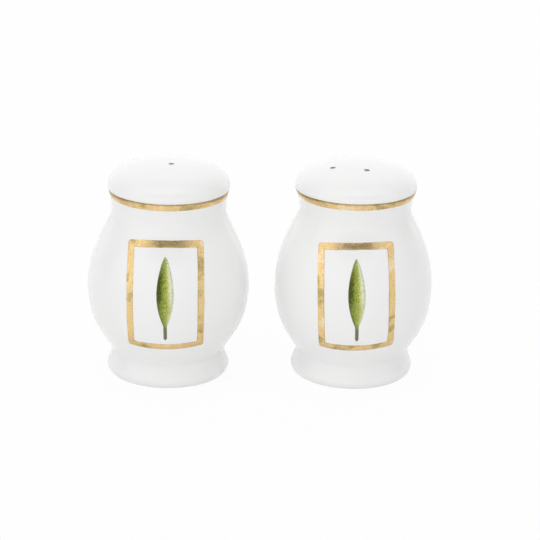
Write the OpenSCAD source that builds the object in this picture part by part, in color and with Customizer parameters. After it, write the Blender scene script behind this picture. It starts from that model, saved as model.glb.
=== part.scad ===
// Salt and pepper shakers: two slip-cast porcelain vessels, each with a soft plug in its base
// and fired-on decoration. Millimetres, +Z up, origin on the table midway between the two.

/* [Shaker] */
// Height of both shakers
height = 76.5; // [72:0.5:84]
// Belly diameter of the salt shaker
salt_belly_d = 56.6; // [53:0.1:60]
// Belly diameter of the pepper shaker
pepper_belly_d = 55.4; // [53:0.1:60]
// Neck diameter of the salt shaker
salt_neck_d = 40; // [37:0.1:41]
// Neck diameter of the pepper shaker
pepper_neck_d = 39; // [37:0.1:41]
// Diameter of the lip round the dome
lip_d = 42.4; // [41:0.1:46]
// Diameter of the waist above the foot
waist_d = 39.2; // [37:0.1:41]
// Largest diameter of the foot
foot_d = 42.8; // [41:0.1:46]
// Thickness of the porcelain wall
wall = 3; // [2.4:0.1:3.6]

/* [Heights] */
// Height at which the foot is widest
foot_z = 3; // [2:0.1:4]
// Height of the waist crease
waist_z = 9; // [8:0.1:11]
// Height of the belly's widest ring
belly_z = 32.2; // [29:0.1:35]
// Height of the neck's narrowest ring
neck_z = 60.4; // [57:0.1:62]
// Height of the lip's widest ring
lip_z = 68.4; // [67:0.1:69]
// Fullness of the salt shaker's shoulder, between its belly and its neck
salt_shoulder = 14; // [13:0.5:16]
// Fullness of the pepper shaker's shoulder
pepper_shoulder = 15.5; // [13:0.5:16]

/* [Base] */
// Outer diameter of the flat unglazed ring that touches the table
ring_outer_d = 37.2; // [36:0.1:38]
// Width of that ring
ring_w = 2; // [1.5:0.1:2.5]
// How far the base sits up inside the foot
recess_h = 3.6; // [3.4:0.1:4]
// Thickness of the base
base_t = 3; // [2.5:0.1:4]
// Diameter of the fill hole
fill_d = 20; // [18:0.5:22]

/* [Pour holes] */
// Diameter of each pour hole
hole_d = 1.9; // [1.4:0.1:2.4]
// Distance of the salt shaker's hole from the middle of its dome
salt_hole_off = 2.1; // [0:0.1:6]
// Direction of that hole in degrees, from +X towards +Y
salt_hole_dir = 296; // [0:1:360]
// Distance of the pepper shaker's left hole from the middle of its dome
pepper_left_off = 9.1; // [4:0.1:11]
// Direction of that hole in degrees
pepper_left_dir = 203; // [180:1:260]
// Distance of the pepper shaker's right hole from the middle of its dome
pepper_right_off = 7.3; // [4:0.1:11]
// Direction of that hole in degrees
pepper_right_dir = 296; // [280:1:360]

/* [Stopper] */
// Diameter of the stopper's flange
flange_d = 25; // [23:0.5:27]
// Thickness of the flange
flange_t = 1.2; // [1:0.1:1.5]
// Radial clearance between the sealing ribs and the fill hole
seal_gap = 0.05; // [0.02:0.01:0.1]
// How far the plug reaches above the base inside the shaker
plug_over = 2; // [1:0.5:4]
// Wall of the hollow plug, which is open towards the table
plug_wall = 1.3; // [1:0.1:2]
// How far the sealing ribs stand out from the plug
rib_out = 0.35; // [0.2:0.05:0.5]
// Radius of the finger tab's round end
tab_r = 3; // [2.5:0.1:3.2]

/* [Decoration] */
// Thickness of each fired-on layer
layer_t = 0.1; // [0.05:0.01:0.2]
// Height of the salt shaker's rim band, at its lower edge
salt_band_z = 65; // [63:0.1:66]
// Height of the pepper shaker's rim band, at its lower edge
pepper_band_z = 65.6; // [63:0.1:66]
// Width of the rim bands
band_w = 2.6; // [2:0.1:3.2]
// Width of the frame, measured flat
frame_w = 27.8; // [24:0.1:29]
// Height of the frame, measured flat
frame_h = 39.8; // [35:0.1:40]
// Width of the frame's line
frame_line = 2.5; // [1.5:0.1:3.5]
// Height of the salt shaker's frame, at its middle
salt_frame_z = 35.7; // [34:0.1:37]
// Height of the pepper shaker's frame, at its middle
pepper_frame_z = 35.4; // [34:0.1:37]
// Lean of the salt shaker's frame and leaf to the left, in degrees
salt_lean = 0.4; // [-3:0.1:3]
// Lean of the pepper shaker's frame and leaf to the left, in degrees
pepper_lean = 1.6; // [-3:0.1:3]
// Distance of the leaf's tip above the frame's middle, measured flat
leaf_tip = 14.4; // [12:0.1:15]
// Length of the leaf's blade, measured flat
blade_l = 24.2; // [20:0.1:25]
// Length of the leaf's stem, measured flat
stem_l = 5.7; // [3:0.1:6]
// Greatest width of the blade
blade_w = 5.8; // [4:0.1:8]
// Width of the stem
stem_w = 1.2; // [0.6:0.1:1.5]

/* [Layout] */
// Distance between the two shakers' axes
spacing = 65; // [62:1:120]
// How far the salt shaker is turned about its own axis, in degrees
salt_turn = -2.2; // [-20:0.1:20]
// How far the pepper shaker is turned about its own axis, in degrees
pepper_turn = -1.1; // [-20:0.1:20]

/* [Hidden] */

foot_r = foot_d / 2;
waist_r = waist_d / 2;
lip_r = lip_d / 2;
ring_r = ring_outer_d / 2;
fill_r = fill_d / 2;
base_top = recess_h + base_t;
// Inner wall of the foot ring, and its small edge break
ring_in_r = ring_r - ring_w;
edge_break = 0.5;
// Corners of the frame's outer and inner outlines, and how many parts each side is split in
frame_corner = 1;
frame_inner_corner = 0.6;
frame_split = 6;
// The two belly radii differ, so the axes shift to keep the origin in the middle of the whole
shift_x = (salt_belly_d - pepper_belly_d) / 4;
salt_x = shift_x - spacing / 2;
pepper_x = shift_x + spacing / 2;
// What tells the two vessels apart: [belly radius, neck radius, fullness of the shoulder]
salt_form = [salt_belly_d / 2, salt_neck_d / 2, salt_shoulder];
pepper_form = [pepper_belly_d / 2, pepper_neck_d / 2, pepper_shoulder];

porcelain = [0.97, 0.97, 0.96];
gold = [0.85, 0.67, 0.35];
leaf_green = [0.48, 0.56, 0.18];
soft_plastic = [0.92, 0.93, 0.92];

// ---- curves -------------------------------------------------------------------------------

function bezier(a, b, c, d, n) =
    [for (i = [0:n])
        let (t = i / n, s = 1 - t)
        s * s * s * a + 3 * s * s * t * b + 3 * s * t * t * c + t * t * t * d];

function tail(v) = [for (i = [1:len(v) - 1]) v[i]];

function reversed(v) = [for (i = [len(v) - 1:-1:0]) v[i]];

// Outside of the belly, neck, lip and dome, from the waist up, as [radius, height] points.
// The steep start at the waist makes the crease above the foot.
function upper_side(form) =
    let (waist = [waist_r, waist_z],
         belly = [form[0], belly_z],
         neck = [form[1], neck_z],
         shoulder = form[2],
         lip = [lip_r, lip_z],
         top = [0, height],
         belly_low = bezier(waist, waist + [3.1, 5.7], belly - [0, 13], belly, 12),
         belly_high = bezier(belly, belly + [0, shoulder], neck - [0, 22.6 - 1.2 * shoulder], neck, 13),
         under_lip = bezier(neck, neck + [0, 4.6], lip - [0, 1], lip, 6),
         dome = bezier(lip, lip + [0, 2.4], [0.89 * lip_r, height], top, 12))
    concat(belly_low, tail(belly_high), tail(under_lip), tail(dome));

// Outside of the foot, from the edge of its flat ring up to the waist
function foot_side() =
    let (ring = [ring_r, 0],
         widest = [foot_r, foot_z],
         waist = [waist_r, waist_z],
         edge = bezier(ring, [ring_r + 0.55 * (foot_r - ring_r), 0], widest - [0, 1.6], widest, 6),
         flare = bezier(widest, widest + [0, 1], waist + [0.1, -1.5], waist, 5))
    concat(edge, tail(flare));

// Inside of the cavity, from the middle of the dome down to the base
function cavity_side(form) =
    let (top = [0, height - wall],
         lip = [lip_r - wall - 0.6, lip_z - 1],
         neck = [form[1] - wall, neck_z - 0.5],
         belly = [form[0] - wall, belly_z],
         waist = [waist_r - wall, waist_z + 1],
         shoulder = form[2],
         floor_edge = [waist_r - wall - 1.5, base_top],
         dome = bezier(top, [0.8 * lip[0], top[1]], lip + [0, 2.4], lip, 7),
         throat = bezier(lip, lip - [0, 2.5], neck + [0, 3.5], neck, 4),
         high = bezier(neck, neck - [0, 23.3 - 1.2 * shoulder], belly + [0, shoulder - 0.2], belly, 9),
         low = bezier(belly, belly - [0, 13], waist + [2.2, 5.5], waist, 8),
         well = bezier(waist, waist - [0, 1.8], floor_edge + [1.2, 0], floor_edge, 4))
    concat(dome, tail(throat), tail(high), tail(low), tail(well));

// Points of a path moved outwards by t along the path's normals
function grown(path, t) =
    [for (i = [0:len(path) - 1])
        let (before = path[max(i - 1, 0)],
             after = path[min(i + 1, len(path) - 1)],
             along = (after - before) / norm(after - before))
        path[i] + t * [along[1], -along[0]]];

// A flat point [across, up] from the frame's middle, leaned over and laid on the belly, as seen
// from the front. A flat sheet can't follow a ball, so its sides draw in and its corners droop.
wrap_across = 28;
wrap_up = 46;
draw_in = 0.0001;
droop = 0.00023;
function laid(p, lean) =
    let (across = p[0] * cos(lean) - p[1] * sin(lean),
         up = p[0] * sin(lean) + p[1] * cos(lean),
         x = wrap_across * sin(across / wrap_across * 180 / PI) * (1 - draw_in * up * up),
         z = wrap_up * sin(up / wrap_up * 180 / PI) - droop * up * across * across)
    [x, z];

// Outline of a flat rectangle with round corners, each side split so that it can bend
function rounded_rectangle(w, h, corner) =
    let (x = w / 2 - corner,
         z = h / 2 - corner,
         middles = [[x, z, 0], [-x, z, 90], [-x, -z, 180], [x, -z, 270]])
    [for (side = [0:3])
        let (here = middles[side], next = middles[(side + 1) % 4])
        each concat(
            [for (i = [0:2])
                [here[0], here[1]] + corner * [cos(here[2] + i * 45), sin(here[2] + i * 45)]],
            [for (i = [1:frame_split - 1])
                let (from = [here[0], here[1]] + corner * [cos(here[2] + 90), sin(here[2] + 90)],
                     to = [next[0], next[1]] + corner * [cos(next[2]), sin(next[2])])
                from + (to - from) * i / frame_split])];

// Half width of the leaf's blade, at a share of its length from the tip
function blade_edge(share) = blade_w / 2 * pow(sin(180 * pow(share, 1.08)), 0.72);

// ---- porcelain ----------------------------------------------------------------------------

module pour_hole(off, direction) {
    rotate(direction)
        translate([off, 0, height - 3 * wall])
            cylinder(h = 4 * wall, d = hole_d, $fn = 32);
}

module vessel(form) {
    underside = [
        [fill_r, base_top],
        [fill_r, recess_h],
        [ring_in_r, recess_h],
        [ring_in_r, edge_break],
        [ring_in_r + edge_break, 0]
    ];
    rotate_extrude($fn = 128)
        polygon(concat(
            underside,
            foot_side(),
            tail(upper_side(form)),
            cavity_side(form)));
}

// ---- stopper ------------------------------------------------------------------------------

module stopper() {
    flange_r = flange_d / 2;
    flange_bottom = recess_h - flange_t;
    plug_top = base_top + plug_over;
    seal_r = fill_r - seal_gap;
    core_r = seal_r - rib_out;
    hollow_r = core_r - plug_wall;
    hollow_top = plug_top - plug_wall;
    round_off = 0.4;
    rotate_extrude($fn = 96)
        polygon(concat(
            [
                [0, hollow_top],
                [hollow_r - 2 * round_off, hollow_top],
                [hollow_r, hollow_top - 2 * round_off],
                [hollow_r, flange_bottom + round_off],
                [hollow_r + round_off, flange_bottom],
                [flange_r - round_off, flange_bottom],
                [flange_r, flange_bottom + round_off],
                [flange_r, recess_h],
                [core_r, recess_h]
            ],
            sealing_rib(core_r, seal_r, recess_h + 0.5),
            sealing_rib(core_r, seal_r, base_top - 1.3),
            [
                [core_r, plug_top - 2 * round_off],
                [core_r - 2 * round_off, plug_top],
                [0, plug_top]
            ]));
    finger_tab(flange_bottom);
}

// One rib of the plug's outline, from its lower edge at height z
function sealing_rib(core_r, seal_r, z) =
    [[core_r, z], [seal_r, z + 0.2], [seal_r, z + 0.6], [core_r, z + 0.8]];

// Rounded tab at the flange's edge for a fingernail, with three grip bars under it
module finger_tab(bottom) {
    tab_x = flange_d / 2 - 0.8;
    translate([0, 0, bottom])
        linear_extrude(flange_t)
            difference() {
                union() {
                    translate([tab_x, 0])
                        circle(r = tab_r, $fn = 48);
                    translate([tab_x - tab_r, -tab_r])
                        square([tab_r, 2 * tab_r]);
                }
                circle(d = flange_d - 1, $fn = 96);
            }
    for (i = [0:2])
        translate([tab_x + 0.3 + 0.75 * i, -1.4 + 0.2 * i, bottom - 0.35])
            cube([0.35, 2.8 - 0.4 * i, 0.35 + flange_t / 2]);
}

// ---- decoration ---------------------------------------------------------------------------

// Thin layer that lies on the outside of the porcelain between two heights
module skin(form, low, high) {
    margin = 4;
    path = [for (p = upper_side(form))
        if (p[1] > low - margin && p[1] < high + margin && p[0] > lip_r / 2) p];
    rotate_extrude($fn = 128)
        polygon(concat(path, reversed(grown(path, layer_t))));
}

module rim_band(form, low) {
    intersection() {
        skin(form, low, low + band_w);
        translate([0, 0, low])
            cylinder(h = band_w, r = lip_d, $fn = 64);
    }
}

// Cuts the skin to a flat shape that faces -Y. The shape's heights are measured from the frame's middle.
module decal(form, middle_z) {
    reach = frame_h / 2 + 1;
    intersection() {
        skin(form, middle_z - reach, middle_z + reach);
        translate([0, 0, middle_z])
            rotate([90, 0, 0])
                linear_extrude(form[0] + 2)
                    children();
    }
}

module frame(form, middle_z, lean) {
    inner_w = frame_w - 2 * frame_line;
    inner_h = frame_h - 2 * frame_line;
    decal(form, middle_z)
        difference() {
            polygon([for (p = rounded_rectangle(frame_w, frame_h, frame_corner)) laid(p, lean)]);
            polygon([for (p = rounded_rectangle(inner_w, inner_h, frame_inner_corner)) laid(p, lean)]);
        }
}

module leaf(form, middle_z, lean) {
    steps = 14;
    blade_end = leaf_tip - blade_l;
    right = [for (i = [1:steps - 1])
        let (share = i / steps)
        [max(blade_edge(share), stem_w / 2), leaf_tip - share * blade_l]];
    left = [for (p = reversed(right)) [-p[0], p[1]]];
    stem = [
        [stem_w / 2, blade_end],
        [stem_w / 2, blade_end - stem_l],
        [-stem_w / 2, blade_end - stem_l],
        [-stem_w / 2, blade_end]
    ];
    decal(form, middle_z)
        polygon([for (p = concat([[0, leaf_tip]], right, stem, left)) laid(p, lean)]);
}

// ---- the two shakers ----------------------------------------------------------------------

module at_salt() {
    translate([salt_x, 0, 0])
        rotate(salt_turn)
            children();
}

module at_pepper() {
    translate([pepper_x, 0, 0])
        rotate(pepper_turn)
            children();
}

module salt_body() {
    color(porcelain)
        at_salt()
            difference() {
                vessel(salt_form);
                pour_hole(salt_hole_off, salt_hole_dir);
            }
}

module salt_stopper() {
    color(soft_plastic) at_salt() stopper();
}

module salt_rim_band() {
    color(gold) at_salt() rim_band(salt_form, salt_band_z);
}

module salt_frame() {
    color(gold) at_salt() frame(salt_form, salt_frame_z, salt_lean);
}

module salt_leaf() {
    color(leaf_green) at_salt() leaf(salt_form, salt_frame_z, salt_lean);
}

module pepper_body() {
    color(porcelain)
        at_pepper()
            difference() {
                vessel(pepper_form);
                pour_hole(pepper_left_off, pepper_left_dir);
                pour_hole(pepper_right_off, pepper_right_dir);
            }
}

module pepper_stopper() {
    color(soft_plastic) at_pepper() stopper();
}

module pepper_rim_band() {
    color(gold) at_pepper() rim_band(pepper_form, pepper_band_z);
}

module pepper_frame() {
    color(gold) at_pepper() frame(pepper_form, pepper_frame_z, pepper_lean);
}

module pepper_leaf() {
    color(leaf_green) at_pepper() leaf(pepper_form, pepper_frame_z, pepper_lean);
}

salt_body();
salt_stopper();
salt_rim_band();
salt_frame();
salt_leaf();
pepper_body();
pepper_stopper();
pepper_rim_band();
pepper_frame();
pepper_leaf();
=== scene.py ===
from math import cos, pi, radians, sin

import bmesh
import bpy
import numpy as np
from mathutils import Matrix, Vector
from mathutils.geometry import delaunay_2d_cdt


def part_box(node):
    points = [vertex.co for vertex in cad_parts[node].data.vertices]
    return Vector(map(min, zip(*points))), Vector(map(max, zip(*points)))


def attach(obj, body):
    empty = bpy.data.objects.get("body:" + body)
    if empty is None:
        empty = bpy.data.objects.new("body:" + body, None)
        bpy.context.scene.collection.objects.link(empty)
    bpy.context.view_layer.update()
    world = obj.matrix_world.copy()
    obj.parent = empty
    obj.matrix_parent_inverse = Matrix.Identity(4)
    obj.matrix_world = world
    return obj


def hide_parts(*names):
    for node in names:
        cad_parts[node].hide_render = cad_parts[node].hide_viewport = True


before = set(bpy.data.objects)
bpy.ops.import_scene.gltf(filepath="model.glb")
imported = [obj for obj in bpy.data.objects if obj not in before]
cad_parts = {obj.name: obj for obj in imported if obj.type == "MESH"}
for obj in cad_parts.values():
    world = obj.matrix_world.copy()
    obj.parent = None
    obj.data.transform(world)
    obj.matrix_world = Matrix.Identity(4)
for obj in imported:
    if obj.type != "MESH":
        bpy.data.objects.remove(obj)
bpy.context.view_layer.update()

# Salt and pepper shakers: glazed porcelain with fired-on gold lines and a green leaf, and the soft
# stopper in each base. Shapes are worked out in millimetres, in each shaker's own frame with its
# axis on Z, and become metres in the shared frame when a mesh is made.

MM = 0.001

# ---- sizes in millimetres, as in the CAD model ------------------------------------------------

# Porcelain
LIP_R = 21.2
WAIST_R = 19.6
FOOT_R = 21.4
RING_R = 18.6
RING_W = 2.0
WALL = 3.0
FOOT_Z = 3.0
WAIST_Z = 9.0
BELLY_Z = 32.2
NECK_Z = 60.4
LIP_Z = 68.4
RECESS_H = 3.6
BASE_T = 3.0
FILL_R = 10.0
HOLE_R = 0.95
BASE_TOP = RECESS_H + BASE_T
# How far the glaze rounds the rim of a pour hole, and the edges of the fill hole
HOLE_EDGE = 0.35
FILL_EDGE = 0.4
# The part of the dome that carries the pour holes
CAP_R = 13.0

# Gold and enamel
BAND_W = 2.6
FRAME_W = 27.8
FRAME_H = 39.8
FRAME_LINE = 2.5
FRAME_CORNER = 1.0
FRAME_INNER_CORNER = 0.6
# The radii that the flat decoration bends round, and how its sides draw in and its corners droop
WRAP_ACROSS = 28.0
WRAP_UP = 46.0
DRAW_IN = 0.0001
DROOP = 0.00023
# The leaf's tip is this far above the frame's middle
LEAF_TIP = 14.4
BLADE_L = 24.2
STEM_L = 5.7
BLADE_W = 5.8
STEM_W = 1.2

# Stopper
FLANGE_R = 12.5
FLANGE_T = 1.2
SEAL_R = 9.95
RIB_OUT = 0.35
PLUG_OVER = 2.0
PLUG_WALL = 1.3
LOW_RIB_Z = RECESS_H + 0.5
HIGH_RIB_Z = BASE_TOP - 1.3
RIB_H = 0.8
TAB_R = 3.0
TAB_X = FLANGE_R - 0.8
# Middle of the grip bar nearest to the axis, the step to the next, and a bar's height and half width
GRIP_X = TAB_X + 0.475
GRIP_STEP = 0.75
GRIP_H = 0.35
GRIP_HALF_W = 0.28

# Steps round a full turn, and the angle from which an edge is drawn sharp
SEGMENTS = 192
SHARP_DEGREES = 40


# ---- curves -----------------------------------------------------------------------------------

def bezier(a, b, c, d, steps):
    """Points along a cubic curve from a to d."""
    a, b, c, d = (np.array(p, float) for p in (a, b, c, d))
    t = np.linspace(0, 1, steps + 1)[:, None]
    s = 1 - t
    return s ** 3 * a + 3 * s ** 2 * t * b + 3 * s * t ** 2 * c + t ** 3 * d


def chained(*paths):
    """Paths that meet end to end as one path."""
    return np.concatenate([paths[0]] + [path[1:] for path in paths[1:]])


def line(a, b, steps):
    """Points along a straight line from a to b."""
    return np.linspace(np.array(a, float), np.array(b, float), steps + 1)


def softened(path, corner, reach):
    """The path with one corner rounded off, from reach before it to reach after it."""
    corner = np.array(corner, float)
    far = np.linalg.norm(path - corner, axis=1)
    near = np.flatnonzero(far < reach)
    before, after = path[near[0] - 1], path[near[-1] + 1]
    start = corner + (before - corner) * reach / np.linalg.norm(before - corner)
    end = corner + (after - corner) * reach / np.linalg.norm(after - corner)
    arc = bezier(start, start + (corner - start) * 2 / 3, end + (corner - end) * 2 / 3, end, 6)
    return np.concatenate([path[:near[0]], arc, path[near[-1] + 1:]])


def side(belly_r, neck_r, shoulder, height):
    """Outside from the waist up to the top of the dome, as [radius, height] points."""
    waist = np.array([WAIST_R, WAIST_Z])
    belly = np.array([belly_r, BELLY_Z])
    neck = np.array([neck_r, NECK_Z])
    lip = np.array([LIP_R, LIP_Z])
    return chained(
        bezier(waist, waist + (3.1, 5.7), belly - (0, 13), belly, 60),
        bezier(belly, belly + (0, shoulder), neck - (0, 22.6 - 1.2 * shoulder), neck, 60),
        bezier(neck, neck + (0, 4.6), lip - (0, 1), lip, 24),
        bezier(lip, lip + (0, 2.4), (0.89 * LIP_R, height), (0, height), 80))


def foot():
    """Outside of the foot from the flat ring up to the waist."""
    widest = np.array([FOOT_R, FOOT_Z])
    waist = np.array([WAIST_R, WAIST_Z])
    ring = np.array([RING_R, 0.0])
    ring_end = (RING_R + 0.55 * (FOOT_R - RING_R), 0)
    return chained(
        bezier(ring, ring_end, widest - (0, 1.6), widest, 20),
        bezier(widest, widest + (0, 1), waist + (0.1, -1.5), waist, 20))


def inside(belly_r, neck_r, shoulder, height):
    """Wall of the cavity from the top of its dome down to the base."""
    top = np.array([0, height - WALL])
    lip = np.array([LIP_R - WALL - 0.6, LIP_Z - 1])
    neck = np.array([neck_r - WALL, NECK_Z - 0.5])
    belly = np.array([belly_r - WALL, BELLY_Z])
    waist = np.array([WAIST_R - WALL, WAIST_Z + 1])
    floor_edge = np.array([WAIST_R - WALL - 1.5, BASE_TOP])
    return chained(
        bezier(top, (0.8 * lip[0], top[1]), lip + (0, 2.4), lip, 40),
        bezier(lip, lip - (0, 2.5), neck + (0, 3.5), neck, 8),
        bezier(neck, neck - (0, 23.3 - 1.2 * shoulder), belly + (0, shoulder - 0.2), belly, 20),
        bezier(belly, belly - (0, 13), waist + (2.2, 5.5), waist, 20),
        bezier(waist, waist - (0, 1.8), floor_edge + (1.2, 0), floor_edge, 8))


def base():
    """Underside from the inner edge of the flat ring to the cavity's floor."""
    ring_in = RING_R - RING_W
    path = chained(
        line((ring_in + 0.5, 0), (ring_in, 0.5), 3),
        line((ring_in, 0.5), (ring_in, RECESS_H), 3),
        line((ring_in, RECESS_H), (FILL_R, RECESS_H), 8),
        line((FILL_R, RECESS_H), (FILL_R, BASE_TOP), 4),
        line((FILL_R, BASE_TOP), (WAIST_R - WALL - 1.5, BASE_TOP), 6))
    path = softened(path, (ring_in, RECESS_H), 0.8)
    path = softened(path, (FILL_R, RECESS_H), FILL_EDGE)
    return softened(path, (FILL_R, BASE_TOP), FILL_EDGE)


def cut_at_radius(path, radius):
    """A path that runs outwards from the axis, cut so that it starts at this radius."""
    first = np.flatnonzero(path[:, 0] > radius)[0]
    start = (radius, np.interp(radius, path[:, 0], path[:, 1]))
    return np.vstack([start, path[first:]])


# ---- shakers ----------------------------------------------------------------------------------

class Shaker:
    """One shaker's place and curves. holes are (distance from the axis, direction) pairs.

    shoulder is the fullness of the curve between belly and neck. turn is the shaker's turn round its
    axis, and lean is how far the frame and the leaf lean to the left. band_z is the lower edge of the
    rim band, and frame_z the middle of the frame. Angles are in degrees.
    """

    def __init__(self, name, neck_r, shoulder, turn, holes, band_z, frame_z, lean):
        low, high = (np.array(corner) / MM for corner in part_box(name + "_body"))
        axis_x = (low[0] + high[0]) / 2
        belly_r = (high[0] - low[0]) / 2
        height = high[2]
        self.name = name
        self.band_z = band_z
        self.frame_z = frame_z
        self.lean = radians(lean)
        self.holes = [(far * cos(radians(way)), far * sin(radians(way))) for far, way in holes]
        self.side = side(belly_r, neck_r, shoulder, height)
        self.inside = inside(belly_r, neck_r, shoulder, height)
        self.place = (Matrix.Translation((axis_x * MM, 0, 0))
                      @ Matrix.Rotation(radians(turn), 4, "Z")
                      @ Matrix.Diagonal((MM, MM, MM, 1)))

    def radius(self, z):
        """Radius of the outside at a height above the waist."""
        return np.interp(z, self.side[:, 1], self.side[:, 0])

    def dome(self, r):
        """Height of the outside of the dome at a distance from the axis."""
        down = self.side[::-1]
        return np.interp(r, down[:, 0], down[:, 1], right=LIP_Z)

    def ceiling(self, r):
        """Height of the inside of the dome."""
        return np.interp(r, self.inside[:, 0], self.inside[:, 1])

    def laid(self, flat):
        """Flat [across, up] points from the frame's middle, leaned over and laid on the belly.

        A flat sheet can't follow a ball, so its sides draw in and its corners droop.
        """
        across = flat[..., 0] * cos(self.lean) - flat[..., 1] * sin(self.lean)
        up = flat[..., 0] * sin(self.lean) + flat[..., 1] * cos(self.lean)
        x = WRAP_ACROSS * np.sin(across / WRAP_ACROSS) * (1 - DRAW_IN * up ** 2)
        z = self.frame_z + WRAP_UP * np.sin(up / WRAP_UP) - DROOP * up * across ** 2
        y = -np.sqrt(np.maximum(self.radius(z) ** 2 - x ** 2, 0))
        return np.stack([x, y, z], axis=-1)

    def normals(self, points):
        """Outward directions of the glaze at points on the side."""
        step = 0.1
        z = points[..., 2]
        slope = (self.radius(z + step) - self.radius(z - step)) / (2 * step)
        across = points[..., :2] / np.linalg.norm(points[..., :2], axis=-1, keepdims=True)
        out = np.concatenate([across, -slope[..., None]], axis=-1)
        return out / np.linalg.norm(out, axis=-1, keepdims=True)


SHAKERS = [
    Shaker("salt", neck_r=20.0, shoulder=14.0, turn=-2.2, holes=[(2.1, 296)],
           band_z=65.0, frame_z=35.7, lean=0.4),
    Shaker("pepper", neck_r=19.5, shoulder=15.5, turn=-1.1, holes=[(9.1, 203), (7.3, 296)],
           band_z=65.6, frame_z=35.4, lean=1.6),
]


# ---- mesh making ------------------------------------------------------------------------------

class Shell:
    """Vertices and faces of one piece. Grids meet edge to edge and are joined at the end."""

    def __init__(self):
        self.points = []
        self.flat = []
        self.faces = []

    def grid(self, points, flat=None):
        """A sheet of quads over rows x columns points. flat is each point's texture position."""
        rows, columns = points.shape[:2]
        start = len(self.points)
        if flat is None:
            flat = np.zeros((rows, columns, 2))
        self.points.extend(points.reshape(-1, 3))
        self.flat.extend(flat.reshape(-1, 2))
        for i in range(rows - 1):
            for j in range(columns - 1):
                a = start + i * columns + j
                self.faces.append((a, a + 1, a + columns + 1, a + columns))

    def triangles(self, points, faces):
        """A sheet of triangles, whose texture positions are all zero."""
        start = len(self.points)
        self.points.extend(points)
        self.flat.extend(np.zeros((len(points), 2)))
        self.faces.extend(tuple(start + i for i in face) for face in faces)

    def lathe(self, path):
        """A [radius, height] path turned round the axis."""
        turn = np.linspace(0, 2 * pi, SEGMENTS + 1)
        r, z = path[:, :1], path[:, 1:]
        self.grid(np.stack([r * np.cos(turn), r * np.sin(turn), z + 0 * turn], axis=-1))

    def piece(self, name, shaker):
        """The finished object: joined, facing outwards, in metres at its place."""
        mesh = bpy.data.meshes.new(name)
        mesh.from_pydata([tuple(p) for p in self.points], [], self.faces)
        corners = np.empty(len(mesh.loops), dtype=np.int32)
        mesh.loops.foreach_get("vertex_index", corners)
        layer = mesh.uv_layers.new(name="flat")
        layer.data.foreach_set("uv", np.array(self.flat, dtype=np.float32)[corners].ravel())
        work = bmesh.new()
        work.from_mesh(mesh)
        bmesh.ops.remove_doubles(work, verts=work.verts, dist=1e-4)
        bmesh.ops.recalc_face_normals(work, faces=work.faces)
        work.to_mesh(mesh)
        work.free()
        mesh.transform(shaker.place)
        mesh.shade_smooth()
        mesh.set_sharp_from_angle(angle=radians(SHARP_DEGREES))
        made = bpy.data.objects.new(name, mesh)
        bpy.context.scene.collection.objects.link(made)
        return made


def circle(centre, radius, steps):
    """Steps + 1 points round a circle, the last on the first."""
    turn = np.linspace(0, 2 * pi, steps + 1)
    return np.stack([centre[0] + radius * np.cos(turn), centre[1] + radius * np.sin(turn)], axis=-1)


# ---- porcelain --------------------------------------------------------------------------------

HOLE_STEPS = 48


def cap_layout(holes):
    """Flat triangles over the middle of the dome, with a gap for each pour hole."""
    spacing = 0.9
    gap = HOLE_R + HOLE_EDGE
    loops = [circle((0, 0), CAP_R, SEGMENTS)[:-1]]
    loops += [circle(hole, gap, HOLE_STEPS)[:-1] for hole in holes]
    extra = [circle(hole, gap * grow, HOLE_STEPS)[:-1] for hole in holes for grow in (1.15, 1.35, 1.65)]
    for r in np.arange(spacing, CAP_R - spacing / 2, spacing):
        ring = circle((0, 0), r, max(6, round(2 * pi * r / spacing)))[:-1]
        clear = np.all([np.linalg.norm(ring - hole, axis=1) > 2.1 * gap for hole in holes], axis=0)
        extra.append(ring[clear])
    edges = []
    start = 0
    for loop in loops:
        edges += [(start + i, start + (i + 1) % len(loop)) for i in range(len(loop))]
        start += len(loop)
    spots = [Vector(p) for p in np.concatenate(loops + extra)]
    flat, _, faces, *_ = delaunay_2d_cdt(spots, edges, [], 0, 1e-6)
    flat = np.array([tuple(p) for p in flat])
    kept = []
    for face in faces:
        middle = flat[list(face)].mean(axis=0)
        if all(np.linalg.norm(middle - hole) > gap for hole in holes):
            kept.append(face)
    return flat, kept


def add_pour_hole(shell, shaker, hole):
    """The round-edged tube of one pour hole, from the outside of the dome to the inside."""
    def level(radius, height_at, rise):
        """A ring of points round the hole, at rise above the height of the dome there."""
        ring = circle(hole, radius, HOLE_STEPS)
        z = height_at(np.linalg.norm(ring, axis=1)) + rise
        return np.column_stack([ring, z])

    steps = 8
    bends = [radians(90 * i / steps) for i in range(steps + 1)]
    rows = [level(HOLE_R + HOLE_EDGE * (1 - sin(b)), shaker.dome, HOLE_EDGE * (cos(b) - 1)) for b in bends]
    rows += [level(HOLE_R + HOLE_EDGE * (1 - sin(b)), shaker.ceiling, HOLE_EDGE * (1 - cos(b)))
             for b in reversed(bends)]
    # Painted shade down the wall of the hole: its flat positions are 1 there
    hole_shade = np.zeros((len(rows), HOLE_STEPS + 1, 2))
    hole_shade[steps - 1:steps + 3, :, 0] = 1
    shell.grid(np.array(rows), hole_shade)


def add_vessel(shaker):
    """The one-piece porcelain vessel."""
    shell = Shell()
    outer = cut_at_radius(shaker.side[::-1], CAP_R)
    outer = chained(outer, foot()[::-1])
    outer = softened(outer, (WAIST_R, WAIST_Z), 0.9)
    inner = cut_at_radius(shaker.inside, CAP_R)[::-1]
    ring = line((RING_R, 0), (RING_R - RING_W + 0.5, 0), 3)
    shell.lathe(chained(outer, ring, base(), inner))
    flat, faces = cap_layout(shaker.holes)
    far = np.linalg.norm(flat, axis=1)
    shell.triangles(np.column_stack([flat, shaker.dome(far)]), faces)
    shell.triangles(np.column_stack([flat, shaker.ceiling(far)]), faces)
    for hole in shaker.holes:
        add_pour_hole(shell, shaker, hole)
    return shell.piece(shaker.name + "_porcelain", shaker)


# ---- gold and enamel --------------------------------------------------------------------------

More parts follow.
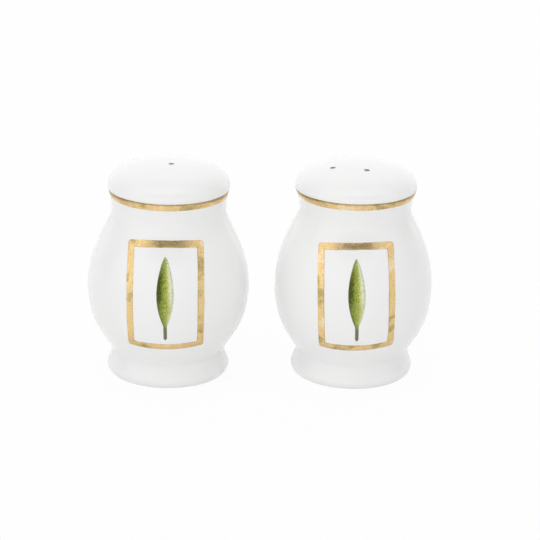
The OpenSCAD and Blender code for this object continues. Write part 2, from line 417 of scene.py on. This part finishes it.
# The layers reach a little into the glaze, so that no gap shows under their edges
SINK = 0.03
# How far each stands out of the glaze, in the middle and at its edges
GOLD_RISE = 0.045
EDGE_RISE = 0.015
ENAMEL_RISE = 0.035
ENAMEL_EDGE_RISE = 0.01


def line_rise(across, edge, middle):
    """Thickness over a line's width: level, with rounded shoulders. across runs from -1 to 1."""
    return edge + (middle - edge) * (1 - np.abs(across) ** 6)


def add_layer(shell, points, normals, rise, flat, loop):
    """A thin closed layer on the glaze. The rows of a loop end where they began."""
    top = points + normals * rise[..., None]
    under = points - normals * SINK
    shell.grid(top, flat)
    shell.grid(under, flat)
    borders = [np.s_[:, 0], np.s_[:, -1]]
    if not loop:
        borders += [np.s_[0, :], np.s_[-1, :]]
    for border in borders:
        shell.grid(np.stack([top[border], under[border]]), np.stack([flat[border], flat[border]]))


def add_rim_band(shaker):
    """Gold line under the lip, laid on with a brush: its start and end overlap at the back."""
    turn = np.linspace(-1.5 * pi, 0.5 * pi, 2 * SEGMENTS + 1)[:, None]
    across = np.linspace(-1, 1, 15)[None, :]
    wobble = 0.03 * np.sin(3 * turn + 1) + 0.02 * np.sin(8 * turn)
    half = BAND_W / 2 - 0.05 + wobble
    z = shaker.band_z + BAND_W / 2 + across * half
    r = shaker.radius(z)
    points = np.stack([r * np.cos(turn), r * np.sin(turn), z], axis=-1)
    overlap = np.exp(-((np.abs(turn + 0.5 * pi) - pi) / 0.12) ** 2)
    rise = line_rise(across, EDGE_RISE, GOLD_RISE) + 0.02 * overlap * (1 - across ** 6)
    # Painted dark reflection at the band's left and right sides: the dark streaks start lower there
    painted_reflection_shift = 1.3 * np.cos(turn) ** 4
    flat = np.stack([turn * LIP_R + 0 * across, z - shaker.band_z + painted_reflection_shift], axis=-1)
    shell = Shell()
    add_layer(shell, points, shaker.normals(points), rise, flat, loop=True)
    return shell.piece(shaker.name + "_gold_band", shaker)


def rounded_rectangle(width, height, corner, bend_steps, side_steps):
    """Outline of a flat rectangle with round corners, anticlockwise, closed."""
    x = width / 2 - corner
    z = height / 2 - corner
    bends = []
    for i, middle in enumerate([(x, z), (-x, z), (-x, -z), (x, -z)]):
        ring = circle(middle, corner, 4 * bend_steps)
        bends.append(ring[i * bend_steps:(i + 1) * bend_steps + 1])
    path = []
    for bend, next_bend in zip(bends, bends[1:] + bends[:1]):
        path += [bend, line(bend[-1], next_bend[0], side_steps)]
    return chained(*path)


def add_frame(shaker):
    """Gold rectangle on the belly."""
    outer = rounded_rectangle(FRAME_W, FRAME_H, FRAME_CORNER, 8, 60)
    inner = rounded_rectangle(FRAME_W - 2 * FRAME_LINE, FRAME_H - 2 * FRAME_LINE, FRAME_INNER_CORNER, 8, 60)
    across = np.linspace(-1, 1, 13)
    blend = (across + 1) / 2
    flat = outer[:, None] + (inner - outer)[:, None] * blend[None, :, None]
    length = np.concatenate([[0], np.cumsum(np.linalg.norm(np.diff(outer, axis=0), axis=1))])
    waver = 0.025 * np.sin(length / 2.9) + 0.02 * np.sin(length / 1.3 + 2)
    edge = (np.abs(across) ** 3 * np.sign(across))[None, :]
    towards = (inner - outer)[:, None] / FRAME_LINE
    flat = flat + towards * (waver[:, None] * edge)[..., None]
    flat[-1] = flat[0]
    points = shaker.laid(flat)
    rise = line_rise(across, EDGE_RISE, GOLD_RISE) + 0 * length[:, None]
    # The dark streaks of the brush's far edge only just reach a line this thin
    strip = np.stack([length[:, None] + 0 * across, 0.85 * blend * FRAME_LINE + 0 * length[:, None]], axis=-1)
    shell = Shell()
    add_layer(shell, points, shaker.normals(points), rise, strip, loop=True)
    return shell.piece(shaker.name + "_gold_frame", shaker)


def add_leaf(shaker):
    """Enamel leaf, tip up. Its flat positions are -1 to 1 across, and 0 at the tip to 1 at the stem's end."""
    length = BLADE_L + STEM_L
    along = np.linspace(0, 1, 121)[:, None]
    across = np.linspace(-1, 1, 25)[None, :]
    share = np.clip(along * length / BLADE_L, 0, 1)
    blade = BLADE_W / 2 * np.maximum(np.sin(pi * share ** 1.08), 0) ** 0.72
    # The blade runs softly into the stem, and the stem's end is rounded off
    half = np.sqrt(blade ** 2 + (STEM_W / 2) ** 2 * np.minimum(1, 12 * along))
    half = np.maximum(half * np.minimum(1, 40 * (1.002 - along)), 0.1)
    flat = np.stack([across * half, LEAF_TIP - along * length + 0 * across], axis=-1)
    points = shaker.laid(flat)
    midrib = 0.012 * np.exp(-(across * half / 0.25) ** 2)
    rise = line_rise(across, ENAMEL_EDGE_RISE, ENAMEL_RISE) + midrib
    texture = np.stack([across + 0 * along, along + 0 * across], axis=-1)
    shell = Shell()
    add_layer(shell, points, shaker.normals(points), rise, texture, loop=False)
    return shell.piece(shaker.name + "_enamel_leaf", shaker)


# ---- stopper ----------------------------------------------------------------------------------

def tab_reach(turn):
    """How far the finger tab stands out past the flange, with a soft web where they meet."""
    inside_root = np.maximum(TAB_R ** 2 - (TAB_X * np.sin(turn)) ** 2, 0)
    reach = np.where(np.cos(turn) > 0, TAB_X * np.cos(turn) + np.sqrt(inside_root), 0)
    soft = 0.25
    return soft * np.log1p(np.exp((reach - FLANGE_R) / soft))


def grip_bars(x, y):
    """Height of the three moulded bars under the tab."""
    height = np.zeros_like(x)
    for i in range(3):
        bar_x = GRIP_X + GRIP_STEP * i
        half = 1.25 - 0.2 * i
        far = np.hypot(x - bar_x, np.maximum(np.abs(y) - half, 0))
        height = np.maximum(height, GRIP_H * np.sqrt(np.clip(1 - (far / GRIP_HALF_W) ** 2, 0, 1)))
    return height


def rib(core_r, z):
    """Outline of one rounded sealing rib, going up."""
    # The curve only comes three quarters of the way to its middle points
    out = SEAL_R + 0.12
    return bezier((core_r, z), (out, z + 0.05), (out, z + RIB_H - 0.05), (core_r, z + RIB_H), 10)


def add_stopper(shaker):
    """Soft plug, open towards the table, with a flange and a tab for a fingernail."""
    core_r = SEAL_R - RIB_OUT
    hollow_r = core_r - PLUG_WALL
    bottom = RECESS_H - FLANGE_T
    flange_top = RECESS_H - 0.02
    plug_top = BASE_TOP + PLUG_OVER
    hollow_top = plug_top - PLUG_WALL
    edge = 0.5
    turn = np.linspace(0, 2 * pi, 2 * SEGMENTS + 1)
    lip_start = hollow_r + 0.4

    # A low round mark where the mould was filled
    mark = hollow_top - 0.25
    gate = line((0, mark), (0.5, mark), 2)
    gate = chained(gate, bezier(gate[-1], (0.8, mark), (0.6, hollow_top), (1.1, hollow_top), 6))
    hollow = chained(
        gate,
        line(gate[-1], (hollow_r, hollow_top), 8),
        line((hollow_r, hollow_top), (hollow_r, bottom), 10),
        line((hollow_r, bottom), (hollow_r + 1, bottom), 2))
    hollow = softened(hollow, (hollow_r, hollow_top), 0.8)
    hollow = softened(hollow, (hollow_r, bottom), 0.35)
    hollow = hollow[hollow[:, 0] < lip_start]
    hollow = np.vstack([hollow, (lip_start, bottom)])

    under = line((lip_start, bottom), (FLANGE_R - edge, bottom), 64)
    bend = np.radians(np.linspace(-90, 90, 13))
    edge_r = FLANGE_R - edge + edge * np.cos(bend)
    edge_z = bottom + (flange_top - bottom) / 2 * (1 + np.sin(bend))
    round_edge = np.column_stack([edge_r, edge_z])
    top_face = line((FLANGE_R - edge, flange_top), (core_r, flange_top), 12)
    low_rib = rib(core_r, LOW_RIB_Z)
    high_rib = rib(core_r, HIGH_RIB_Z)
    plug = chained(
        line((core_r, flange_top), low_rib[0], 1),
        low_rib,
        line(low_rib[-1], high_rib[0], 2),
        high_rib,
        line(high_rib[-1], (core_r, plug_top), 4),
        line((core_r, plug_top), (0, plug_top), 12))
    plug = softened(plug, (core_r, plug_top), 0.8)

    path = chained(hollow, under, round_edge, top_face, plug)
    r, z = path[:, :1], path[:, 1:]
    is_flange = (z <= flange_top + 1e-6) & (r > core_r - 0.01)
    is_under = (z <= bottom + 1e-6) & (r >= lip_start - 1e-6)
    start = np.where(is_under, lip_start, core_r)
    weight = np.where(is_flange | is_under, (r - start) / (FLANGE_R - start), 0).clip(0, 1)
    reach = r + weight * tab_reach(turn)
    x = reach * np.cos(turn)
    y = reach * np.sin(turn)
    drop = np.where(is_under, grip_bars(x, y), 0)
    shell = Shell()
    shell.grid(np.stack([x, y, z - drop], axis=-1))
    return shell.piece(shaker.name + "_soft_stopper", shaker)


# ---- materials --------------------------------------------------------------------------------

def set_inputs(tree, node, values):
    """Sets a node's inputs to values, or links them from other nodes."""
    for key, value in values.items():
        if isinstance(value, bpy.types.NodeSocket):
            tree.links.new(value, node.inputs[key])
        else:
            node.inputs[key].default_value = value


def add_node(tree, kind, inputs=None, **settings):
    """A node with its settings and its inputs."""
    node = tree.nodes.new("ShaderNode" + kind)
    for name, value in settings.items():
        setattr(node, name, value)
    set_inputs(tree, node, inputs or {})
    return node


def object_place(tree):
    """Place on the object in metres."""
    return add_node(tree, "TexCoord").outputs["Object"]


def flat_place(tree):
    """Texture position from the UV map, as each piece's maker describes it."""
    return add_node(tree, "UVMap", uv_map="flat").outputs["UV"]


def parts_of(tree, vector):
    """X, Y and Z of a vector."""
    node = add_node(tree, "SeparateXYZ", {"Vector": vector})
    return [node.outputs[axis] for axis in "XYZ"]


def noise(tree, place, scale, detail, roughness=0.5):
    """Noise from 0 to 1, most of it near 0.5."""
    inputs = {"Vector": place, "Scale": scale, "Detail": detail, "Roughness": roughness}
    return add_node(tree, "TexNoise", inputs).outputs["Fac"]


def ramp(tree, share, stops):
    """A smooth colour ramp. stops are (position, (r, g, b)) pairs."""
    node = add_node(tree, "ValToRGB", {"Fac": share})
    node.color_ramp.interpolation = "EASE"
    elements = node.color_ramp.elements
    while len(elements) < len(stops):
        elements.new(1.0)
    for element, (position, colour) in zip(elements, stops):
        element.position = position
        element.color = (*colour, 1)
    return node.outputs["Color"]


def blend(tree, share, a, b):
    """Mixes two colours, each an output or (r, g, b)."""
    a, b = (colour if isinstance(colour, bpy.types.NodeSocket) else (*colour, 1) for colour in (a, b))
    return add_node(tree, "Mix", {0: share, 6: a, 7: b}, data_type="RGBA").outputs[2]


def maths(tree, operation, a, b=0.0, c=0.0):
    """One sum on two or three numbers or outputs."""
    return add_node(tree, "Math", {0: a, 1: b, 2: c}, operation=operation).outputs[0]


def remap(tree, value, low, high, new_low, new_high, kind="LINEAR"):
    """Takes low to high onto new_low to new_high, and stays level outside them."""
    inputs = {"Value": value, "From Min": low, "From Max": high, "To Min": new_low, "To Max": new_high}
    return add_node(tree, "MapRange", inputs, interpolation_type=kind).outputs["Result"]


def eased(tree, value, low, high, new_low, new_high):
    """As remap, with a soft start and end."""
    return remap(tree, value, low, high, new_low, new_high, "SMOOTHSTEP")


def bump(tree, height, distance, strength, under=None):
    """A surface roughened by height times a distance in millimetres, on top of another bump."""
    inputs = {"Height": height, "Distance": distance * MM, "Strength": strength}
    if under is not None:
        inputs["Normal"] = under
    return add_node(tree, "Bump", inputs).outputs["Normal"]


def start_look(name):
    """A new material with one Principled shader. Returns (material, its tree, the shader)."""
    look = bpy.data.materials.new(name)
    look.use_nodes = True
    tree = look.node_tree
    tree.nodes.clear()
    shader = add_node(tree, "BsdfPrincipled")
    output = add_node(tree, "OutputMaterial")
    tree.links.new(shader.outputs["BSDF"], output.inputs["Surface"])
    return look, tree, shader


def porcelain_look():
    """White body under a clear glaze. The flat ring that stands on the table is bare and dull.

    The walls of the pour holes are darkened with painted shade, where the flat positions rise to 1.
    """
    look, tree, shader = start_look("glazed_porcelain")
    place = object_place(tree)
    height = parts_of(tree, place)[2]
    ragged = maths(tree, "MULTIPLY_ADD", noise(tree, place, 900, 3), 0.3 * MM, height)
    bare = remap(tree, ragged, 0.22 * MM, 0.42 * MM, 1, 0)
    cloud = noise(tree, place, 55, 4, 0.6)
    glazed = blend(tree, cloud, (0.88, 0.88, 0.876), (0.9, 0.9, 0.898))
    # Painted shade inside the pour holes, where the flat positions are 1
    hole_shade_share = parts_of(tree, flat_place(tree))[0]
    glazed = blend(tree, hole_shade_share, glazed, (0.44, 0.43, 0.41))
    grit = noise(tree, place, 2600, 3)
    biscuit = blend(tree, grit, (0.66, 0.63, 0.575), (0.80, 0.775, 0.725))
    orange_peel = noise(tree, place, 420, 2)
    ripple = noise(tree, place, 70, 2)
    normal = bump(tree, ripple, 0.25, 0.25)
    normal = bump(tree, orange_peel, 0.03, 0.2, normal)
    normal = bump(tree, maths(tree, "MULTIPLY", grit, bare), 0.08, 0.8, normal)
    gloss = remap(tree, noise(tree, place, 160, 4), 0.3, 0.7, 0.05, 0.09)
    set_inputs(tree, shader, {
        "Base Color": blend(tree, bare, glazed, biscuit),
        "Roughness": maths(tree, "MAXIMUM", gloss, maths(tree, "MULTIPLY", bare, 0.8)),
        "IOR": 1.52,
        "Subsurface Weight": 0.12,
        "Subsurface Radius": (1.0, 0.9, 0.8),
        "Subsurface Scale": 1.2 * MM,
        "Normal": normal,
    })
    return look


def gold_look():
    """Fired liquid gold: satin metal in cream, peach and ochre patches, streaked along the line.

    The line is darkest along its far edge, where the brush left most.
    """
    look, tree, shader = start_look("gold_lustre")
    place = object_place(tree)
    flat = flat_place(tree)
    over = parts_of(tree, flat)[1]
    stretch = add_node(tree, "Mapping", {"Vector": flat, "Scale": (0.35, 3.2, 1.0)}).outputs["Vector"]
    streaks = noise(tree, stretch, 1.2, 5, 0.7)
    patches = noise(tree, place, 120, 3, 0.6)
    grain = noise(tree, place, 1500, 3, 0.6)
    tone = ramp(tree, patches, [
        (0.36, (0.90, 0.73, 0.44)),
        (0.47, (0.82, 0.535, 0.23)),
        (0.55, (0.79, 0.575, 0.24)),
        (0.64, (0.44, 0.31, 0.09)),
    ])
    dark = (0.29, 0.185, 0.05)
    # On the rim band this also carries the painted dark reflection at its left and right sides
    streaked = maths(tree, "MULTIPLY_ADD", maths(tree, "SUBTRACT", streaks, 0.5), 1.6, over)
    tone = blend(tree, eased(tree, streaks, 0.6, 0.42, 0, 0.4), tone, (0.92, 0.76, 0.48))
    tone = blend(tree, eased(tree, streaked, 1.7, 2.5, 0, 0.8), tone, dark)
    tone = blend(tree, eased(tree, grain, 0.54, 0.72, 0, 0.45), tone, dark)
    set_inputs(tree, shader, {
        "Base Color": tone,
        "Metallic": 1.0,
        "Roughness": remap(tree, streaks, 0.3, 0.7, 0.18, 0.32),
        "Normal": bump(tree, streaks, 0.03, 0.4, bump(tree, grain, 0.03, 0.3)),
    })
    return look


def leaf_look():
    """Stippled leaf: dark along its left edge, olive in the middle, pale at its right edge.

    The upper half has more contrast than the lower half, and a thin grey line at its right edge.
    """
    look, tree, shader = start_look("leaf_enamel")
    place = object_place(tree)
    across, along, _ = parts_of(tree, flat_place(tree))
    stretch = add_node(tree, "Mapping", {"Vector": place, "Scale": (1.0, 1.0, 0.4)}).outputs["Vector"]
    strokes = noise(tree, stretch, 2400, 4, 0.65)
    dots = noise(tree, place, 2600, 2, 0.6)
    shifted = maths(tree, "MULTIPLY_ADD", maths(tree, "SUBTRACT", strokes, 0.5), 0.7, across)
    share = remap(tree, shifted, -1, 1, 0, 1)
    upper = ramp(tree, share, [
        (0.0, (0.04, 0.055, 0.001)),
        (0.22, (0.05, 0.07, 0.001)),
        (0.42, (0.21, 0.27, 0.015)),
        (0.58, (0.34, 0.39, 0.05)),
        (0.7, (0.60, 0.65, 0.25)),
        (0.82, (0.84, 0.86, 0.68)),
        (0.94, (0.60, 0.66, 0.57)),
        (1.0, (0.50, 0.57, 0.47)),
    ])
    lower = ramp(tree, share, [
        (0.0, (0.12, 0.155, 0.035)),
        (0.3, (0.25, 0.295, 0.045)),
        (0.6, (0.33, 0.36, 0.07)),
        (0.85, (0.57, 0.61, 0.29)),
        (1.0, (0.69, 0.72, 0.50)),
    ])
    wandering = maths(tree, "MULTIPLY_ADD", maths(tree, "SUBTRACT", strokes, 0.5), 0.25, along)
    blade = blend(tree, eased(tree, wandering, 0.42, 0.62, 0, 1), upper, lower)
    near_tip = eased(tree, wandering, 0.05, 0.27, 0.8, 0)
    not_right = eased(tree, share, 0.5, 0.75, 1, 0.25)
    blade = blend(tree, maths(tree, "MULTIPLY", near_tip, not_right), blade, (0.31, 0.355, 0.085))
    light_dots = eased(tree, dots, 0.45, 0.62, 0, 1)
    rightwards = eased(tree, share, 0.15, 0.6, 0.15, 0.55)
    blade = blend(tree, maths(tree, "MULTIPLY", light_dots, rightwards), blade, (0.62, 0.66, 0.24))
    dark_dots = eased(tree, dots, 0.44, 0.34, 0, 0.55)
    blade = blend(tree, dark_dots, blade, (0.05, 0.07, 0.005))
    stem_start = BLADE_L / (BLADE_L + STEM_L)
    stem = remap(tree, along, stem_start - 0.05, stem_start + 0.03, 0, 1)
    set_inputs(tree, shader, {
        "Base Color": blend(tree, stem, blade, (0.17, 0.20, 0.09)),
        "Roughness": remap(tree, strokes, 0.3, 0.7, 0.2, 0.38),
        "Specular IOR Level": 0.1,
        "Normal": bump(tree, strokes, 0.04, 0.4),
    })
    return look


def stopper_look():
    """Soft milky plastic with a fine moulded texture."""
    look, tree, shader = start_look("soft_stopper_plastic")
    place = object_place(tree)
    cloud = noise(tree, place, 180, 3)
    grain = noise(tree, place, 5200, 2)
    flow = noise(tree, place, 700, 4, 0.6)
    set_inputs(tree, shader, {
        "Base Color": blend(tree, cloud, (0.70, 0.725, 0.715), (0.78, 0.80, 0.79)),
        "Roughness": remap(tree, flow, 0.3, 0.7, 0.38, 0.52),
        "Subsurface Weight": 0.35,
        "Subsurface Radius": (1.0, 1.0, 0.95),
        "Subsurface Scale": 1.5 * MM,
        "Normal": bump(tree, grain, 0.03, 0.35, bump(tree, flow, 0.05, 0.2)),
    })
    return look


# ---- putting the pieces in --------------------------------------------------------------------

def settle(piece, look, shaker, node, body):
    """Gives a piece its look and its place in the model."""
    piece.data.materials.append(look)
    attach(piece, body)
    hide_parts(shaker.name + node)


porcelain = porcelain_look()
gold = gold_look()
leaf_green = leaf_look()
soft_plastic = stopper_look()

for shaker in SHAKERS:
    vessel_body = shaker.name
    plug_body = shaker.name + "_plug"
    settle(add_vessel(shaker), porcelain, shaker, "_body", vessel_body)
    settle(add_rim_band(shaker), gold, shaker, "_rim_band", vessel_body)
    settle(add_frame(shaker), gold, shaker, "_frame", vessel_body)
    settle(add_leaf(shaker), leaf_green, shaker, "_leaf", vessel_body)
    settle(add_stopper(shaker), soft_plastic, shaker, "_stopper", plug_body)


# ---- camera -----------------------------------------------------------------------------------

def direction(azimuth, elevation):
    """From the set outwards. Azimuth 0 is straight in front, at -Y, and turns towards +X."""
    a, e = radians(azimuth), radians(elevation)
    return Vector((sin(a) * cos(e), -cos(a) * cos(e), sin(e)))


# The camera's distance and the point that it looks at are in millimetres, and its angles in degrees
LENS_MM = 170.88
CAMERA_FAR = 900
CAMERA_AZIMUTH = -2.26
CAMERA_ELEVATION = 19.06
CAMERA_ROLL = 1.08
CAMERA_TARGET = (3.41, -0.18, 37.18)


def add_camera():
    """A long lens a little above the shakers, rolled by about a degree."""
    lens = bpy.data.cameras.new("camera")
    lens.lens = LENS_MM
    lens.sensor_width = 36
    lens.clip_start = 0.05
    camera = bpy.data.objects.new("camera", lens)
    back = direction(CAMERA_AZIMUTH, CAMERA_ELEVATION)
    place = (Vector(CAMERA_TARGET) + CAMERA_FAR * back) * MM
    aim = back.to_track_quat("Z", "Y").to_matrix().to_4x4()
    roll = Matrix.Rotation(radians(CAMERA_ROLL), 4, "Z")
    camera.matrix_world = Matrix.Translation(place) @ aim @ roll
    bpy.context.scene.collection.objects.link(camera)
    bpy.context.scene.camera = camera


add_camera()


# ---- studio -----------------------------------------------------------------------------------

# Height of the dim patch on a room of radius 1
PATCH_Z = 0.563
# Share of the light that goes through the floor, and how clear the floor is to the camera
FLOOR_CLEAR = 0.35
FLOOR_CLEAR_TO_CAMERA = 0.93


def add_world():
    """White to the camera. To the set it is a bright, even room with a lit ceiling.

    The wall in front is a little brighter on its left. The walls at the sides are dimmer, and so is a
    soft patch high in front, between the room's wall and its ceiling, which the gold mirrors.
    """
    world = bpy.data.worlds.new("studio")
    bpy.context.scene.world = world
    world.use_nodes = True
    tree = world.node_tree
    tree.nodes.clear()
    way = add_node(tree, "TexCoord").outputs["Generated"]
    x, y, z = parts_of(tree, way)
    front = eased(tree, x, -0.6, 0.7, 1.19, 0.94)
    back = eased(tree, y, 0.2, 0.85, 0.5, 1.15)
    walls = blend(tree, eased(tree, y, -0.35, 0.15, 0, 1), front, back)
    ceiling = eased(tree, z, 0.55, 0.9, 0, 0.39)
    patch_x = eased(tree, maths(tree, "ABSOLUTE", x), 0.25, 0.76, 1, 0)
    patch_z = eased(tree, maths(tree, "ABSOLUTE", maths(tree, "SUBTRACT", z, PATCH_Z)), 0.03, 0.22, 1, 0)
    in_front = eased(tree, y, -0.5, -0.2, 0.9, 0)
    patch = maths(tree, "MULTIPLY", maths(tree, "MULTIPLY", patch_x, patch_z), in_front)
    level = maths(tree, "MULTIPLY", maths(tree, "ADD", walls, ceiling), maths(tree, "SUBTRACT", 1.0, patch))
    seen = add_node(tree, "LightPath").outputs["Is Camera Ray"]
    strength = maths(tree, "ADD", maths(tree, "MULTIPLY", level, maths(tree, "SUBTRACT", 1.0, seen)), seen)
    room = add_node(tree, "Background", {"Color": (1, 1, 1, 1), "Strength": strength})
    output = add_node(tree, "OutputWorld")
    tree.links.new(room.outputs["Background"], output.inputs["Surface"])


def add_floor():
    """A pale floor that lets some light up through it, as a light table does, to show the undersides.

    The camera sees it as a white sheet that takes only a faint shadow.
    """
    mesh = bpy.data.meshes.new("floor")
    half = 1.5
    # Just below the shakers, so that the two don't share a plane
    level = -0.1 * MM
    corners = [(-half, -half, level), (half, -half, level), (half, half, level), (-half, half, level)]
    mesh.from_pydata(corners, [], [(0, 1, 2, 3)])
    floor = bpy.data.objects.new("floor", mesh)
    bpy.context.scene.collection.objects.link(floor)
    look = bpy.data.materials.new("pale_floor")
    look.use_nodes = True
    tree = look.node_tree
    tree.nodes.clear()
    paper = add_node(tree, "BsdfDiffuse", {"Color": (0.9, 0.9, 0.9, 1)})
    clear = add_node(tree, "BsdfTransparent")
    seen = add_node(tree, "LightPath").outputs["Is Camera Ray"]
    share = maths(tree, "MULTIPLY_ADD", seen, FLOOR_CLEAR_TO_CAMERA - FLOOR_CLEAR, FLOOR_CLEAR)
    mixed = add_node(tree, "MixShader", {0: share, 1: paper.outputs[0], 2: clear.outputs[0]})
    output = add_node(tree, "OutputMaterial")
    tree.links.new(mixed.outputs[0], output.inputs["Surface"])
    mesh.materials.append(look)


add_world()
add_floor()
bpy.context.scene.view_settings.view_transform = "Standard"
